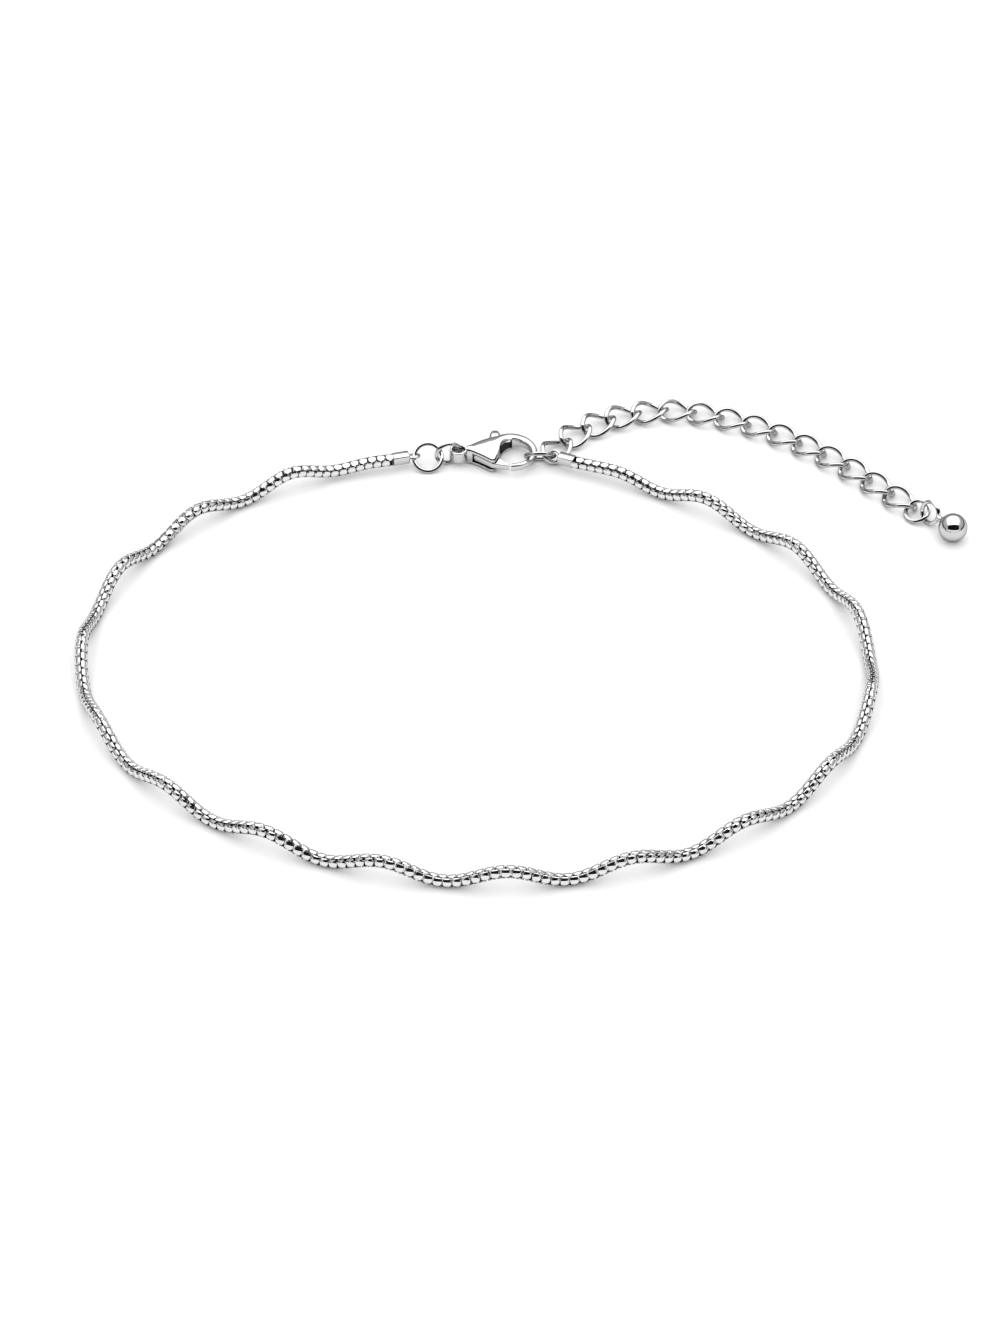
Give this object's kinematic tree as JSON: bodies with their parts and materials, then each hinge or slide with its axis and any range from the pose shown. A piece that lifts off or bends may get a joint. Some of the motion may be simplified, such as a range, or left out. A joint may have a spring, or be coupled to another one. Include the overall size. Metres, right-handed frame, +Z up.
{
  "type": "chain bracelet",
  "caption": "Polished silver bracelet of fine round box chain set in gentle waves, closed by a lobster clasp, with a curb-link extension that ends in a ball.",
  "frame": {"origin": "on the table, under the middle of the bracelet's box", "axes": "+Z up from the table, +Y from the front of the loop to the clasp, +X towards the end of the extension chain"},
  "size_m": [0.091, 0.0738, 0.003],
  "materials": {
    "chain_silver": "polished silver chain",
    "wire_silver": "polished silver wire",
    "cast_silver": "polished cast silver"
  },
  "bodies": {
    "bracelet": {"chain_left": "chain_silver", "chain_right": "chain_silver", "crimp_end_left": "cast_silver", "crimp_end_right": "cast_silver", "jump_ring_left": "wire_silver", "oval_link": "wire_silver", "jump_ring_right": "wire_silver", "extension_link_01": "wire_silver", "extension_link_02": "wire_silver", "extension_link_03": "wire_silver", "extension_link_04": "wire_silver", "extension_link_05": "wire_silver", "extension_link_06": "wire_silver", "extension_link_07": "wire_silver", "extension_link_08": "wire_silver", "extension_link_09": "wire_silver", "extension_link_10": "wire_silver", "extension_link_11": "wire_silver", "extension_link_12": "wire_silver", "extension_link_13": "wire_silver", "extension_link_14": "wire_silver", "extension_link_15": "wire_silver", "extension_end_ring": "wire_silver", "extension_ball": "cast_silver", "clasp_body": "cast_silver"},
    "lever": {"clasp_lever": "cast_silver"}
  },
  "joints": [
    {"name": "lever_hinge", "type": "hinge", "parent": "bracelet", "child": "lever", "pos_m": [-0.00507, 0.02713, 0.001], "axis": [0, 0, 1], "range_deg": [0, 25], "stiffness_Nm_per_rad": 0.003, "springref_deg": -17.19}
  ]
}
